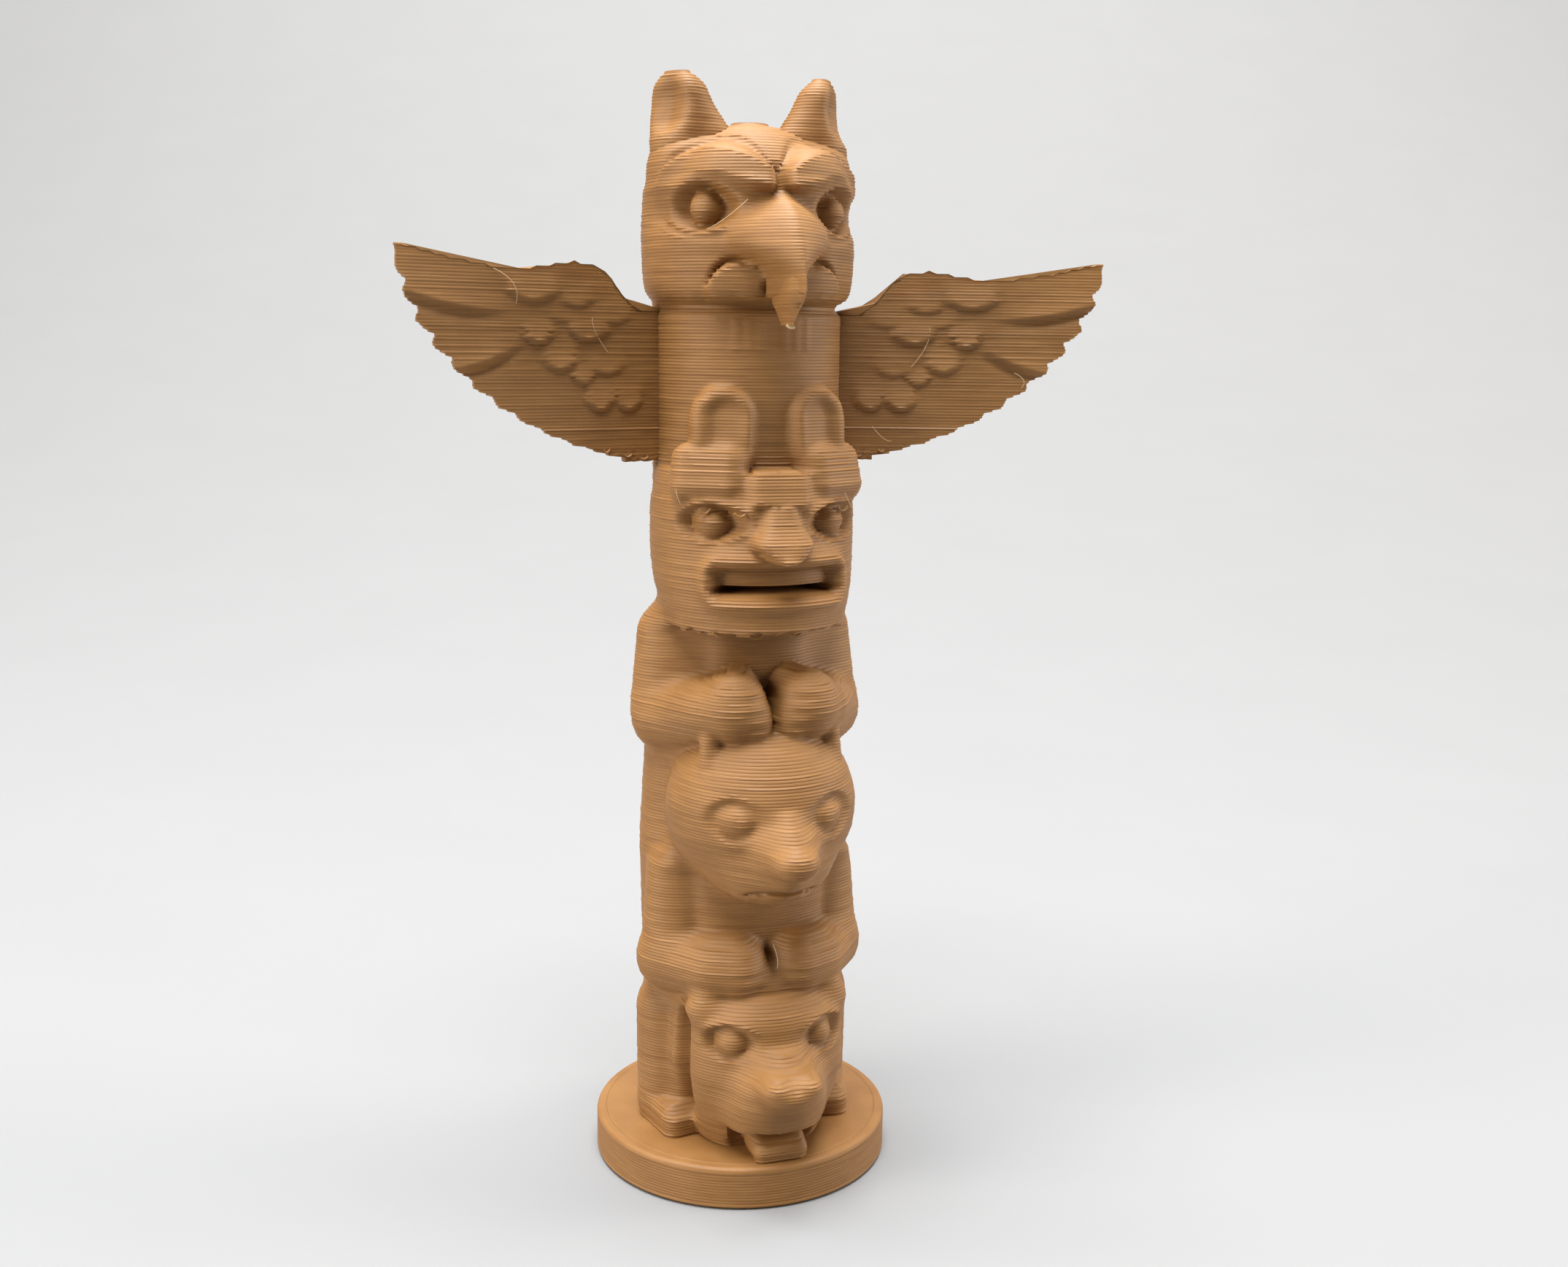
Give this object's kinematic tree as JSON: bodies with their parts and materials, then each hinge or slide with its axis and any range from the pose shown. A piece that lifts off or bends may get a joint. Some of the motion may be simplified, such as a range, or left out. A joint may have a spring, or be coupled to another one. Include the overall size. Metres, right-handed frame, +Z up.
{
  "type": "totem pole figurine",
  "caption": "Small carved totem pole on a round base: an eagle with spread wings above a mask-faced figure and two bears, made as one printed piece.",
  "frame": {"origin": "centre of the round base's flat underside", "axes": "+Z up along the pole, -Y the way its faces look, X across the wings"},
  "size_m": [0.0628, 0.0308, 0.0989],
  "materials": {
    "printed_plastic": "satin tan PLA with fine horizontal print layers"
  },
  "bodies": {
    "root": {"totem_pole": "printed_plastic"}
  },
  "joints": []
}
